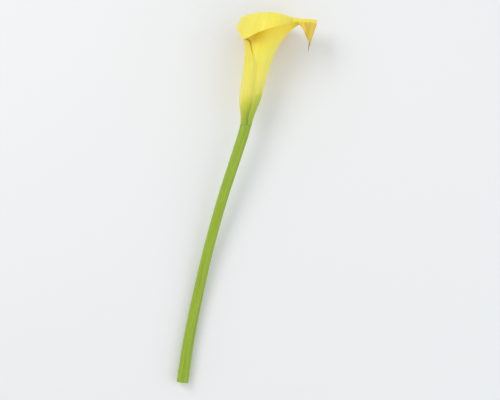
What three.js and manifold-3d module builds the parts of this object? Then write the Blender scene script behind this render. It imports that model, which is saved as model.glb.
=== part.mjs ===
// A cut arum lily flower, lying on a flat surface: stem, spathe and spadix.
// Millimetres, +Z up. +Y runs from the cut end of the stem to the bloom, and the
// hooked tip of the spathe points to +X. The origin is under the middle of the part.

import * as THREE from 'three';
import Module from 'manifold-3d';

const wasm = await Module();
wasm.setup();

// Driving dimensions.
// The flower is drawn upright, foot of the spathe at the origin, and then laid down.

const LIE_ANGLE = THREE.MathUtils.degToRad(4.2); // the bloom's axis rises this much to the rim
const FOOT_LIFT = 15.9; // height of the spathe's foot above the surface
const SEAT_GAP = 0.3; // clearance between pieces that touch
const PRESSED_DEPTH = 0.08; // what comes this near to the surface is pressed flat on it

const SHEET_THICKNESS = 0.7;
const FLAP_GAP = 0.35; // clearance between the two flaps where they overlap
const LINE_COUNT = 80; // lines of the sheet, from edge to edge around the funnel
const ROW_COUNT = 28; // steps along each line, from foot to rim
const LINE_NUDGE = 0.5; // degrees to either side of a line, for the sheet's direction there
const WALL_STEPS = 24;
const CURVE_STEPS = 30;
const BEND_WEIGHT = 5; // millimetres of length that a bend of one radian counts for
const SHEET_FOOT = 5; // height at which the sheet starts, sunk in the cup
const CREST_REACH = 3.4; // most that the sheet runs on outwards from its crest before it bends down

// Where the lines crowd together: angle, spread and how many more there are than elsewhere.
const LINE_CROWDS = [[0, 9, 4], [0, 2, 8], [150, 14, 2], [213, 14, 1.2], [-147, 14, 0.8]];

const WAIST_HEIGHT = 47;
const WAIST_SPREAD = 8;
const WAIST_TURN = 7; // degrees by which the far flap's edge is drawn back there

const CUP_TOP = 8;
const CUP_SIDES = 40;
const CUP_PROUD = 0.22; // how far the cup stands out from the sheet
const CUP_HOLE_RADIUS = 1.9;
const CUP_BORE_RADIUS = 2.6;

const STEM_LENGTH = 160;
const STEM_SIDES = 18;
const STEM_STEPS = 40;
const STEM_TOP_RADIUS = 3.4;
const STEM_END_RADIUS = 3.6;
const STEM_SLIMMING = 0.35; // how much thinner the stem is halfway along
const STEM_CLEARANCE = 0.06; // gap under the stem a little before its cut end
const STEM_SEAT = 0.13; // depth of the flat under the cut end
const BOSS_RADIUS = CUP_HOLE_RADIUS - SEAT_GAP;
const BOSS_HEIGHT = 2;

const SPADIX_FOOT = BOSS_HEIGHT + SEAT_GAP;
const SPADIX_TOP = 31;
const FLORETS_AROUND = 12;
const FLORET_PITCH = 1.9; // height of one row of florets
const FLORET_RELIEF = 0.32;

// Colours.

const SPATHE_YELLOW = 0xf6e25a;
const STEM_GREEN = 0x97b43a;
const SPADIX_YELLOW = 0xe8a92c;

// The wall of the funnel as if it had no flare: radius by height.
const WALL = [
  [0, 3.0], [6, 4.4], [11, 5.8], [15, 6.45], [20, 6.8], [28, 7.3], [36, 8.0], [46, 9.0], [66, 11.0],
];

// The rim, all round. Angles are in degrees about the funnel's axis: 0 is the tip,
// 90 the near side that ends up on top, and -90 the far side that lies underneath.
// The near flap ends inside at 255 degrees, the far flap ends outside at -285.
// A line leaves the wall at its throat, passes its crest and ends at its edge. Flare
// is the distance out from the wall, lean the direction of the line away from the
// axis, and pull how strongly the crest draws the line below it.
const RIM = [
  // angle, throat height, pull, crest [flare, height, lean], edge [flare, height, lean]
  [-285, 11, 0.5, [0, 12, 6], [0, 13.5, 6]],
  [-277, 21, 0.5, [0, 22.5, 5], [0, 24, 5]],
  [-268, 29, 0.5, [0, 31, 5], [0, 32.5, 5]],
  [-256, 33, 0.5, [0, 35.3, 5], [0, 36.8, 5]],
  [-243, 36, 0.5, [0, 38.8, 5], [0, 40.5, 5]],
  [-228, 38, 0.5, [0.1, 43.6, 6], [0.2, 45.6, 7]],
  [-213, 38, 1, [0.1, 46.4, 6], [0.4, 48.8, 9]],
  [-197, 37, 1, [0.4, 47.2, 9], [1.0, 50.0, 15]],
  [-180, 37, 2, [0.9, 47.8, 14], [2.0, 51, 24]],
  [-165, 37, 3, [2.4, 48.8, 24], [4.6, 53.0, 32]],
  [-152, 37, 4, [4.4, 52.5, 30], [7.4, 57.6, 44]],
  [-142, 37, 5, [5.6, 57.5, 50], [9.6, 60.4, 100]],
  [-133, 37, 4, [5.0, 62.0, 78], [10.8, 59.4, 152]],
  [-122, 37, 3, [4.4, 62.8, 88], [11.75, 56.6, 164]],
  [-90, 37, 3, [4.0, 62.6, 90], [7.0, 58.6, 168]],
  [-58, 37, 3, [4.0, 62.6, 90], [12.0, 57.4, 164]],
  [-45, 37, 4, [3.8, 62.6, 90], [8.8, 59.6, 168]],
  [-30, 37, 5, [4.4, 62.6, 90], [6.8, 61.0, 160]],
  [-20, 37, 7, [6.9, 62.6, 90], [8.5, 61.2, 166]],
  [-12, 37, 10, [10.4, 62.4, 90], [13.1, 57.0, 178]],
  [-6, 37, 12, [13.8, 62.4, 90], [16.8, 51.8, 175]],
  [-2.5, 37, 12, [16.5, 62.4, 90], [18.6, 49.4, 173]],
  [-1.2, 37, 12, [17.0, 62.4, 90], [19.3, 47.4, 173]],
  [0, 37, 12, [17.3, 62.4, 90], [20.4, 42.8, 173]],
  [1.2, 37, 12, [17.0, 62.4, 90], [19.3, 47.4, 173]],
  [2.5, 37, 12, [16.5, 62.4, 90], [18.6, 49.4, 173]],
  [6, 37, 12, [13.8, 62.4, 90], [16.8, 51.6, 175]],
  [12, 37, 10, [10.4, 62.4, 90], [13.1, 55.5, 178]],
  [20, 37, 7, [6.9, 62.7, 90], [8.5, 60.0, 176]],
  [30, 37, 5, [4.3, 63.1, 90], [6.6, 59.4, 174]],
  [45, 38, 3, [3.3, 63.6, 90], [7.2, 58.4, 172]],
  [60, 39, 3, [3.0, 64.2, 90], [8.7, 57.2, 170]],
  [90, 40, 3, [3.1, 65.0, 90], [9.8, 53.8, 170]],
  [118, 40, 3, [2.9, 65.0, 90], [7.5, 50.9, 176]],
  [134, 40, 3, [3.0, 64.9, 90], [6.3, 49.6, 180]],
  [150, 39, 4, [4.2, 64.6, 88], [5.9, 50.2, 176]],
  [165, 38, 5, [5.4, 64.0, 82], [7.6, 54.4, 166]],
  [180, 37, 6, [6.2, 63.0, 72], [9.2, 58.6, 150]],
  [194, 37, 6, [5.8, 60.5, 50], [8.4, 61.0, 95]],
  [206, 37, 5, [4.0, 56, 28], [5.8, 59.5, 40]],
  [217, 36, 3, [0.7, 47, 10], [1.3, 51, 14]],
  [228, 34, 1, [0, 38.5, 6], [0, 40.5, 6]],
  [240, 26, 0.5, [0, 28.5, 5], [0, 30, 5]],
  [255, 12, 0.5, [0, 13.5, 6], [0, 15, 6]],
];

const FAR_EDGE_ANGLE = RIM[0][0];
const NEAR_EDGE_ANGLE = RIM[RIM.length - 1][0];
const TURN = 360;

// Smooth curve through points [x, y] that never overshoots them.
function smoothCurve(points) {
  const slopes = points.map((point, i) => {
    if (i === 0 || i === points.length - 1) return 0;
    const before = (point[1] - points[i - 1][1]) / (point[0] - points[i - 1][0]);
    const after = (points[i + 1][1] - point[1]) / (points[i + 1][0] - point[0]);
    return before * after > 0 ? (2 * before * after) / (before + after) : 0;
  });
  return (x) => {
    if (x <= points[0][0]) return points[0][1];
    let i = 1;
    while (i < points.length - 1 && points[i][0] < x) i += 1;
    if (x >= points[i][0]) return points[i][1];
    const [x0, y0] = points[i - 1];
    const [x1, y1] = points[i];
    const width = x1 - x0;
    const t = (x - x0) / width;
    const s = 1 - t;
    return y0 * (1 + 2 * t) * s * s + slopes[i - 1] * width * t * s * s
      + y1 * (3 - 2 * t) * t * t - slopes[i] * width * t * t * s;
  };
}

const wallRadius = smoothCurve(WALL);
const throatHeight = smoothCurve(RIM.map((row) => [row[0], row[1]]));
const crestPull = smoothCurve(RIM.map((row) => [row[0], row[2]]));
const crestFlare = smoothCurve(RIM.map((row) => [row[0], row[3][0]]));
const crestHeight = smoothCurve(RIM.map((row) => [row[0], row[3][1]]));
const crestLean = smoothCurve(RIM.map((row) => [row[0], row[3][2]]));
const edgeFlare = smoothCurve(RIM.map((row) => [row[0], row[4][0]]));
const edgeHeight = smoothCurve(RIM.map((row) => [row[0], row[4][1]]));
const edgeLean = smoothCurve(RIM.map((row) => [row[0], row[4][2]]));

// The funnel leans towards its tip: sideways place of its axis at a height.
function axisX(height) {
  return 0.15 * height + 0.00117 * height * height;
}

// The sheet winds inwards from the far flap to the near flap, so that they pass.
function spiralOffset(angle) {
  const start = NEAR_EDGE_ANGLE - TURN;
  const end = FAR_EDGE_ANGLE + TURN;
  const turned = THREE.MathUtils.clamp((angle - start) / (end - start), 0, 1);
  return (0.5 - turned) * (SHEET_THICKNESS + FLAP_GAP);
}

function leanVector(degrees) {
  const lean = THREE.MathUtils.degToRad(degrees);
  return new THREE.Vector2(Math.sin(lean), Math.cos(lean));
}

// The far flap's free edge is drawn in at the waist, where the near flap comes out.
function waistTurn(angle, height) {
  const whole = FAR_EDGE_ANGLE + 30;
  const none = FAR_EDGE_ANGLE + 110;
  const share = 1 - THREE.MathUtils.smoothstep(angle, whole, none);
  return WAIST_TURN * share * Math.exp(-(((height - WAIST_HEIGHT) / WAIST_SPREAD) ** 2));
}

// One line of the sheet as a path of (radius, height), from the foot to the rim.
function sheetLine(angle) {
  const offset = spiralOffset(angle);
  const throat = throatHeight(angle);
  const wall = [];
  for (let i = 0; i <= WALL_STEPS; i += 1) {
    const height = SHEET_FOOT + (throat - SHEET_FOOT) * (i / WALL_STEPS);
    wall.push(new THREE.Vector2(wallRadius(height) + offset, height));
  }
  const start = wall[WALL_STEPS];
  const crest = new THREE.Vector2(
    wallRadius(crestHeight(angle)) + offset + crestFlare(angle),
    crestHeight(angle),
  );
  const edge = new THREE.Vector2(
    wallRadius(edgeHeight(angle)) + offset + edgeFlare(angle),
    edgeHeight(angle),
  );
  const wallDirection = start.clone().sub(wall[WALL_STEPS - 1]).normalize();
  const crestDirection = leanVector(crestLean(angle));
  const edgeDirection = leanVector(edgeLean(angle));
  const rise = new THREE.CubicBezierCurve(
    start,
    start.clone().addScaledVector(wallDirection, 0.42 * start.distanceTo(crest)),
    crest.clone().addScaledVector(crestDirection, -crestPull(angle)),
    crest,
  );
  const fallHandle = 0.4 * crest.distanceTo(edge);
  const crestHandle = Math.min(fallHandle, CREST_REACH);
  const fall = new THREE.CubicBezierCurve(
    crest,
    crest.clone().addScaledVector(crestDirection, crestHandle),
    edge.clone().addScaledVector(edgeDirection, -fallHandle),
    edge,
  );
  return [...wall, ...rise.getPoints(CURVE_STEPS).slice(1), ...fall.getPoints(CURVE_STEPS).slice(1)];
}

// Points of a path at equal steps, which shorten where the path bends.
function evenSteps(path, count) {
  const lengths = [0];
  for (let i = 1; i < path.length; i += 1) {
    const step = path[i].clone().sub(path[i - 1]);
    const before = i > 1 ? path[i - 1].clone().sub(path[i - 2]) : step;
    const bend = Math.abs(Math.atan2(before.cross(step), before.dot(step)));
    lengths.push(lengths[i - 1] + step.length() + BEND_WEIGHT * bend);
  }
  const total = lengths[lengths.length - 1];
  const steps = [];
  let i = 1;
  for (let k = 0; k <= count; k += 1) {
    const wanted = (total * k) / count;
    while (i < path.length - 1 && lengths[i] < wanted) i += 1;
    const share = (wanted - lengths[i - 1]) / (lengths[i] - lengths[i - 1]);
    steps.push(path[i - 1].clone().lerp(path[i], share));
  }
  return steps;
}

// Angles of the sheet's lines. They crowd together at the tip and where the rim turns sharply.
function lineAngles() {
  const density = (angle) => LINE_CROWDS.reduce(
    (sum, [middle, spread, more]) => sum + more * Math.exp(-(((angle - middle) / spread) ** 2)),
    1,
  );
  const step = 0.25;
  const table = [[0, FAR_EDGE_ANGLE]];
  let sum = 0;
  for (let angle = FAR_EDGE_ANGLE; angle < NEAR_EDGE_ANGLE; angle += step) {
    sum += density(angle + step / 2) * step;
    table.push([sum, angle + step]);
  }
  const angles = [];
  let i = 1;
  for (let k = 0; k <= LINE_COUNT; k += 1) {
    const wanted = (sum * k) / LINE_COUNT;
    while (i < table.length - 1 && table[i][0] < wanted) i += 1;
    const share = (wanted - table[i - 1][0]) / (table[i][0] - table[i - 1][0]);
    angles.push(table[i - 1][1] + share * step);
  }
  return angles;
}

// Lay an upright point down on its far side.
function lay(point) {
  const laid = point.clone().applyAxisAngle(new THREE.Vector3(1, 0, 0), LIE_ANGLE);
  laid.z += FOOT_LIFT;
  return laid;
}

function funnelPoint(angle, radius, height) {
  const turned = THREE.MathUtils.degToRad(angle);
  return new THREE.Vector3(
    axisX(height) + radius * Math.cos(turned),
    height,
    radius * Math.sin(turned),
  );
}

// A closed body from vertices and triangles, as a solid that can be joined and cut.
function toSolid(vertices, triangles) {
  const vertProperties = new Float32Array(vertices.flatMap((v) => [v.x, v.y, v.z]));
  const triVerts = new Uint32Array(triangles.flat());
  return new wasm.Manifold(new wasm.Mesh({ numProp: 3, vertProperties, triVerts }));
}

function toGeometry(solid) {
  const { vertProperties, triVerts } = solid.getMesh();
  const geometry = new THREE.BufferGeometry();
  geometry.setAttribute('position', new THREE.BufferAttribute(new Float32Array(vertProperties), 3));
  geometry.setIndex(new THREE.BufferAttribute(new Uint32Array(triVerts), 1));
  geometry.computeVertexNormals();
  return geometry;
}

// Skin rings of points that have equal counts, and close both ends with a fan.
function loft(rings) {
  const sides = rings[0].length;
  const vertices = rings.flat();
  const triangles = [];
  for (let ring = 0; ring < rings.length - 1; ring += 1) {
    for (let i = 0; i < sides; i += 1) {
      const a = ring * sides + i;
      const b = ring * sides + ((i + 1) % sides);
      triangles.push([a, b, b + sides], [a, b + sides, a + sides]);
    }
  }
  const middle = (ring) => ring.reduce((sum, p) => sum.add(p), new THREE.Vector3()).divideScalar(sides);
  const first = vertices.push(middle(rings[0])) - 1;
  const last = vertices.push(middle(rings[rings.length - 1])) - 1;
  const lastRing = (rings.length - 1) * sides;
  for (let i = 0; i < sides; i += 1) {
    const next = (i + 1) % sides;
    triangles.push([first, next, i], [last, lastRing + i, lastRing + next]);
  }
  return { vertices, triangles };
}

// One line of the sheet, laid down with the flower.
function laidLine(angle) {
  return evenSteps(sheetLine(angle), ROW_COUNT)
    .map((p) => lay(funnelPoint(angle + waistTurn(angle, p.y), p.x, p.y)));
}

// The rolled sheet of the spathe, with its thickness.
function spatheSheet() {
  const angles = lineAngles();
  const grid = angles.map(laidLine);
  const beside = angles.map((angle) => [
    laidLine(Math.max(angle - LINE_NUDGE, FAR_EDGE_ANGLE)),
    laidLine(Math.min(angle + LINE_NUDGE, NEAR_EDGE_ANGLE)),
  ]);
  const half = SHEET_THICKNESS / 2;
  grid.flat().forEach((p) => {
    p.z = Math.max(p.z, half);
  });
  const at = (line, row) => grid[line][THREE.MathUtils.clamp(row, 0, ROW_COUNT)];
  const vertices = [];
  const columns = ROW_COUNT + 1;
  const faceSize = (LINE_COUNT + 1) * columns;
  [half, -half].forEach((distance) => {
    for (let line = 0; line <= LINE_COUNT; line += 1) {
      for (let row = 0; row <= ROW_COUNT; row += 1) {
        const along = at(line, row + 1).clone().sub(at(line, row - 1));
        const [before, after] = beside[line];
        const across = after[row].clone().sub(before[row]);
        const outwards = along.cross(across).normalize();
        const vertex = at(line, row).clone().addScaledVector(outwards, distance);
        if (vertex.z < PRESSED_DEPTH) vertex.z = 0;
        vertices.push(vertex);
      }
    }
  });
  const triangles = [];
  for (let line = 0; line < LINE_COUNT; line += 1) {
    for (let row = 0; row < ROW_COUNT; row += 1) {
      const a = line * columns + row;
      const b = a + columns;
      const c = b + 1;
      const d = a + 1;
      const [under, beside, opposite, above] = [a, b, c, d].map((corner) => corner + faceSize);
      triangles.push([a, c, b], [a, d, c]);
      triangles.push([under, beside, opposite], [under, opposite, above]);
    }
  }
  const border = [];
  for (let line = 0; line < LINE_COUNT; line += 1) border.push(line * columns);
  for (let row = 0; row < ROW_COUNT; row += 1) border.push(LINE_COUNT * columns + row);
  for (let line = LINE_COUNT; line > 0; line -= 1) border.push(line * columns + ROW_COUNT);
  for (let row = ROW_COUNT; row > 0; row -= 1) border.push(row);
  border.forEach((from, i) => {
    const to = border[(i + 1) % border.length];
    triangles.push([from, to, to + faceSize], [from, to + faceSize, from + faceSize]);
  });
  return { vertices, triangles };
}

// The closed foot of the funnel, in which both flaps end.
function spatheCup() {
  const stepStart = FAR_EDGE_ANGLE + TURN - 22;
  const stepEnd = FAR_EDGE_ANGLE + TURN + 4;
  const outerOffset = (angle) => {
    const inside = spiralOffset(angle);
    const outside = spiralOffset(angle - TURN);
    const share = THREE.MathUtils.smoothstep(angle, stepStart, stepEnd);
    return inside + (outside - inside) * share;
  };
  const ring = (height, radiusAt) => {
    const points = [];
    for (let i = 0; i < CUP_SIDES; i += 1) {
      const angle = NEAR_EDGE_ANGLE - (TURN * i) / CUP_SIDES;
      points.push(lay(funnelPoint(angle, radiusAt(angle), height)));
    }
    return points;
  };
  const outerRing = (height, proud) => ring(
    height,
    (angle) => wallRadius(height) + SHEET_THICKNESS / 2 + proud + outerOffset(angle),
  );
  const innerRing = (height, radius) => ring(height, () => radius);
  const profile = [
    innerRing(SEAT_GAP, CUP_HOLE_RADIUS),
    ring(SEAT_GAP, () => STEM_TOP_RADIUS),
    outerRing(1.6, CUP_PROUD),
    outerRing(3.4, CUP_PROUD),
    outerRing(5.2, CUP_PROUD),
    outerRing(6.6, CUP_PROUD),
    outerRing(CUP_TOP, -SHEET_THICKNESS / 2),
    innerRing(CUP_TOP, 3.6),
    innerRing(5.4, 3.05),
    innerRing(2.6, CUP_BORE_RADIUS),
    innerRing(1.7, CUP_HOLE_RADIUS),
  ];
  const vertices = profile.flat();
  const triangles = [];
  profile.forEach((_, k) => {
    const next = (k + 1) % profile.length;
    for (let i = 0; i < CUP_SIDES; i += 1) {
      const j = (i + 1) % CUP_SIDES;
      const a = k * CUP_SIDES + i;
      const b = k * CUP_SIDES + j;
      const c = next * CUP_SIDES + j;
      const d = next * CUP_SIDES + i;
      triangles.push([a, b, c], [a, c, d]);
    }
  });
  return { vertices, triangles };
}

function spathe() {
  const sheet = spatheSheet();
  const cup = spatheCup();
  return toGeometry(toSolid(sheet.vertices, sheet.triangles).add(toSolid(cup.vertices, cup.triangles)));
}

// The path of the stem: from the foot of the spathe down to the cut end, which alone
// touches the surface.
function stemPath() {
  const foot = lay(new THREE.Vector3(0, 0, 0));
  return new THREE.CatmullRomCurve3([
    foot,
    lay(new THREE.Vector3(-1.5, -6, 0)),
    lay(new THREE.Vector3(-6.6, -22, -0.3)),
    new THREE.Vector3(-14.5, -46, 11.2),
    new THREE.Vector3(-23, -76, 7.4),
    new THREE.Vector3(-30.5, -108, 4.6),
    new THREE.Vector3(-36, -136, STEM_END_RADIUS + STEM_CLEARANCE),
    new THREE.Vector3(-39.5, -STEM_LENGTH, STEM_END_RADIUS - STEM_SEAT),
  ], false, 'centripetal');
}

function stem() {
  const path = stemPath();
  const ringAt = (centre, direction, radius) => {
    const side = new THREE.Vector3().crossVectors(new THREE.Vector3(0, 0, 1), direction).normalize();
    const up = new THREE.Vector3().crossVectors(direction, side);
    const points = [];
    for (let i = 0; i < STEM_SIDES; i += 1) {
      const turned = (i / STEM_SIDES) * 2 * Math.PI;
      const point = centre.clone()
        .addScaledVector(side, radius * Math.cos(turned))
        .addScaledVector(up, radius * Math.sin(turned));
      point.z = Math.max(point.z, 0);
      points.push(point);
    }
    return points;
  };
  const foot = lay(new THREE.Vector3(0, 0, 0));
  const upwards = lay(new THREE.Vector3(0, 1, 0)).sub(foot);
  const down = upwards.clone().negate();
  const rings = [
    ringAt(foot.clone().addScaledVector(upwards, BOSS_HEIGHT), down, BOSS_RADIUS),
    ringAt(foot, down, BOSS_RADIUS),
    ringAt(foot, down, STEM_TOP_RADIUS),
  ];
  for (let i = 1; i <= STEM_STEPS; i += 1) {
    const t = i / STEM_STEPS;
    const fullRadius = THREE.MathUtils.lerp(STEM_TOP_RADIUS, STEM_END_RADIUS, t);
    const radius = fullRadius - STEM_SLIMMING * Math.sin(Math.PI * t);
    rings.push(ringAt(path.getPointAt(t), path.getTangentAt(t), radius));
  }
  const body = loft(rings);
  return toGeometry(toSolid(body.vertices, body.triangles));
}

// The spadix is a finger of florets, raised from its surface in staggered rows.
const spadixRadius = smoothCurve([
  [SPADIX_FOOT, 1.9], [SPADIX_FOOT + 1.2, 2.15], [9.5, 2.3], [11, 2.15], [13, 2.5], [22, 2.5], [27, 2.2],
  [29.6, 1.5], [SPADIX_TOP, 0.35],
]);

function floretRelief(turn, height) {
  const row = (height - SPADIX_FOOT) / FLORET_PITCH;
  const shift = Math.floor(row) % 2 === 0 ? 0 : 0.5;
  const around = Math.cos(2 * Math.PI * (turn * FLORETS_AROUND + shift));
  const along = Math.sin(Math.PI * (row - Math.floor(row)));
  return FLORET_RELIEF * along * (0.5 + 0.5 * around);
}

function spadix() {
  const sides = FLORETS_AROUND * 3;
  const stepsPerRow = 3;
  const steps = Math.ceil((SPADIX_TOP - SPADIX_FOOT) / FLORET_PITCH) * stepsPerRow;
  const rings = [];
  for (let k = 0; k <= steps; k += 1) {
    const height = THREE.MathUtils.lerp(SPADIX_FOOT, SPADIX_TOP, k / steps);
    const core = spadixRadius(height);
    const ring = [];
    for (let i = 0; i < sides; i += 1) {
      const turn = -i / sides;
      const radius = core + floretRelief(turn, height) * Math.min(1, core / 2);
      ring.push(lay(funnelPoint(turn * TURN, radius, height)));
    }
    rings.push(ring);
  }
  const body = loft(rings);
  return toGeometry(toSolid(body.vertices, body.triangles));
}

function piece(name, geometry, color, roughness) {
  const material = new THREE.MeshStandardMaterial({ color, roughness, metalness: 0 });
  const mesh = new THREE.Mesh(geometry, material);
  mesh.name = name;
  return mesh;
}

const flower = new THREE.Group();
flower.add(
  piece('stem', stem(), STEM_GREEN, 0.5),
  piece('spathe', spathe(), SPATHE_YELLOW, 0.45),
  piece('spadix', spadix(), SPADIX_YELLOW, 0.7),
);

const box = new THREE.Box3().setFromObject(flower);
const centre = box.getCenter(new THREE.Vector3());
flower.position.set(-centre.x, -centre.y, 0);

export default flower;
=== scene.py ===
# %% [markdown]
# A cut arum lily flower lies on a pale floor: a fleshy stem, one yellow sheet rolled
# into a funnel, and a small finger of florets inside it. The lesson dresses a packed
# model, so it starts by loading that model, and every piece made here rides on it.
# The frame is in metres and a flower's measures are millimetres, so one millimetre is
# kept as a named value.

# %% Load the imported model
import math

import bpy
from mathutils import Matrix, Vector


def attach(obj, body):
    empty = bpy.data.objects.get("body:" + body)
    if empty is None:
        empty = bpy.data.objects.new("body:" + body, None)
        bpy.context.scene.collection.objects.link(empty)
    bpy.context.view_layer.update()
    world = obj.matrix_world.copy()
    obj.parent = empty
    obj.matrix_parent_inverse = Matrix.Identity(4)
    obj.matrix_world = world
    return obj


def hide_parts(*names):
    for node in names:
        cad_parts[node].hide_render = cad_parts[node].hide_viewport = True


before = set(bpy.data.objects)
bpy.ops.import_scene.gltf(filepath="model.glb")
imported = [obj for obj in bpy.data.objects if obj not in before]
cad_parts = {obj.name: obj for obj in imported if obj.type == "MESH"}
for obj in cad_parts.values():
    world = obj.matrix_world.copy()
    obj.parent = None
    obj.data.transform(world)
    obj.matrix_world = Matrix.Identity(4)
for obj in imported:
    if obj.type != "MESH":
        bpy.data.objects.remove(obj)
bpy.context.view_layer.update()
MM = 0.001

# %% [markdown]
# The bloom is seen squarely from its near side in the photograph. Here the flower lies
# down, so the camera looks down on it, with the bloom at the top of the picture. The
# bloom's axis rises a few degrees, and the camera is tipped by the same angle, which
# keeps it square to the funnel. A long lens keeps the proportions of a distant view.

# %% Camera
LIE_ANGLE = math.radians(4.2)
VIEW_ASPECT = 500 / 400
LENS = 90
VIEW_HEIGHT = 246 * MM

camera_data = bpy.data.cameras.new("camera")
camera_data.lens = LENS
camera = bpy.data.objects.new("camera", camera_data)
bpy.context.scene.collection.objects.link(camera)
bpy.context.scene.camera = camera

half_angle = math.atan(camera_data.sensor_width / VIEW_ASPECT / 2 / LENS)
view_distance = VIEW_HEIGHT / 2 / math.tan(half_angle)
view_back = Vector((0, -math.sin(LIE_ANGLE), math.cos(LIE_ANGLE)))
view_centre = Vector((2 * MM, 0, 12 * MM))
camera.location = view_centre + view_back * view_distance
camera.rotation_mode = "QUATERNION"
camera.rotation_quaternion = (-view_back).to_track_quat("-Z", "Y")
print("camera is", round(view_distance, 3), "m away")

# %% [markdown]
# Colours are easier to judge as the 0 to 255 numbers of a picture, while Blender's
# nodes work with linear light, so one helper turns the first into the second. The
# others shorten the work with objects and node trees. They show a mesh or a lamp, give
# a node its links and fixed values, add a node, make a colour ramp from a list of
# stops, mix two colours, do one sum, turn a pattern into relief, and start a material.

# %% Helpers for objects, colours and node trees
def new_object(name, data):
    """An object at the origin that shows a mesh, a curve or a lamp."""
    obj = bpy.data.objects.new(name, data)
    bpy.context.scene.collection.objects.link(obj)
    return obj


def colour(red, green, blue):
    """A picture colour as linear light with full opacity."""
    linear = []
    for value in (red, green, blue):
        share = value / 255
        linear.append(share / 12.92 if share <= 0.04045 else ((share + 0.055) / 1.055) ** 2.4)
    return (*linear, 1.0)


def fill_inputs(tree, node, inputs):
    """Give a node's inputs their links and fixed values."""
    for key, value in inputs.items():
        if isinstance(value, bpy.types.NodeSocket):
            tree.links.new(value, node.inputs[key])
        else:
            node.inputs[key].default_value = value


def add_node(tree, kind, inputs=None, **settings):
    """A new node with its settings and its inputs."""
    node = tree.nodes.new(kind)
    for name, value in settings.items():
        setattr(node, name, value)
    fill_inputs(tree, node, inputs or {})
    return node


def ramp(tree, factor, stops):
    """A colour ramp from (position, colour) stops, driven by factor."""
    node = add_node(tree, "ShaderNodeValToRGB", {"Fac": factor})
    elements = node.color_ramp.elements
    while len(elements) < len(stops):
        elements.new(0.5)
    for element, (position, value) in zip(elements, stops):
        element.position = position
        element.color = value
    return node.outputs["Color"]


def mix_colours(tree, factor, first, second):
    """Two colours mixed by factor, which is a number or a socket."""
    inputs = {0: factor, 6: first, 7: second}
    return add_node(tree, "ShaderNodeMix", inputs, data_type="RGBA").outputs[2]


def number(tree, operation, first, second=0.0, third=0.0):
    """Result of one sum on numbers or sockets."""
    inputs = {0: first, 1: second, 2: third}
    return add_node(tree, "ShaderNodeMath", inputs, operation=operation).outputs["Value"]


def relief(tree, pattern, strength, depth, under=None):
    """Surface direction that a pattern makes uneven, on top of another relief if given."""
    inputs = {"Height": pattern, "Strength": strength, "Distance": depth}
    if under is not None:
        inputs["Normal"] = under
    return add_node(tree, "ShaderNodeBump", inputs).outputs["Normal"]


def new_material(name):
    """An empty material: its tree and its main shader."""
    material = bpy.data.materials.new(name)
    material.use_nodes = True
    return material, material.node_tree, material.node_tree.nodes["Principled BSDF"]


print("yellow as linear light:", [round(v, 3) for v in colour(250, 230, 90)])

# %% [markdown]
# Soft studio light comes from large area lamps, because the size of a lamp sets how soft
# its shadows are. The key lamp stands at the upper left, where the light in the
# photograph comes from, and a weaker one fills the right side. The floor is one plain
# pale plane.

# %% Lamps, surroundings and floor
def area_lamp(name, place, size, power, tint):
    """A square lamp at place that shines at the flower's middle."""
    lamp = bpy.data.lights.new(name, "AREA")
    lamp.size = size
    lamp.energy = power
    lamp.color = tint
    lamp_object = new_object(name, lamp)
    lamp_object.location = place
    lamp_object.rotation_euler = Vector(place).to_track_quat("Z", "Y").to_euler()


area_lamp("key_lamp", (-0.55, 0.45, 0.75), size=0.5, power=3.3, tint=(1.0, 0.98, 0.94))
area_lamp("fill_lamp", (0.7, -0.1, 0.6), size=0.7, power=1.8, tint=(0.94, 0.97, 1.0))

world = bpy.data.worlds.new("studio")
world.use_nodes = True
background = world.node_tree.nodes["Background"]
fill_inputs(world.node_tree, background, {"Color": (0.93, 0.96, 1.0, 1), "Strength": 0.8})
bpy.context.scene.world = world
bpy.context.scene.view_settings.view_transform = "Standard"

floor_material, floor_tree, floor_shader = new_material("pale_floor")
fill_inputs(floor_tree, floor_shader, {"Base Color": (0.8, 0.8, 0.79, 1), "Roughness": 0.85})
FLOOR_HALF = 3.0
corner_signs = ((-1, -1), (1, -1), (1, 1), (-1, 1))
floor_mesh = bpy.data.meshes.new("floor")
floor_corners = [(x * FLOOR_HALF, y * FLOOR_HALF, 0) for x, y in corner_signs]
floor_mesh.from_pydata(floor_corners, [], [(0, 1, 2, 3)])
floor_mesh.materials.append(floor_material)
floor = new_object("floor", floor_mesh)
print("lamps and floor are in place")

# %% [markdown]
# The funnel is drawn upright first, because radius, height and angle are the natural
# measures of a rolled sheet. Its axis bows a little towards the hooked tip. A second
# step lays every upright point down on the floor, with the funnel's foot lifted as the
# collar's far rim holds it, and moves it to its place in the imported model. The same two
# steps serve the spadix and the top of the stem, so all the pieces meet exactly.

# %% From the upright drawing to the flower on the floor
FOOT_LIFT = 15.9
FOOT_PLACE = Vector((-0.0705, 48.1047, 0.0))
AXIS_LEAN, AXIS_BOW = 0.15, 0.00117
FUNNEL_TOP = 66.0


def axis_x(height):
    """Sideways place of the funnel's axis at a height, in mm."""
    return AXIS_LEAN * height + AXIS_BOW * height * height


def to_frame(point):
    """A laid point in mm, moved to its place in the model, in metres."""
    return (Vector(point) + FOOT_PLACE) * MM


def lay(x, y, z):
    """An upright point in mm, laid down on the flower's far side."""
    laid = Matrix.Rotation(LIE_ANGLE, 3, "X") @ Vector((x, y, z))
    laid.z += FOOT_LIFT
    return laid


def funnel_point(angle, radius, height):
    """A point about the funnel's axis, given in degrees and mm, in the model's frame."""
    turned = math.radians(angle)
    x = axis_x(height) + radius * math.cos(turned)
    return to_frame(lay(x, height, radius * math.sin(turned)))


print("top of the axis in mm:", [round(v / MM, 1) for v in funnel_point(0, 0, FUNNEL_TOP)])

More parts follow.
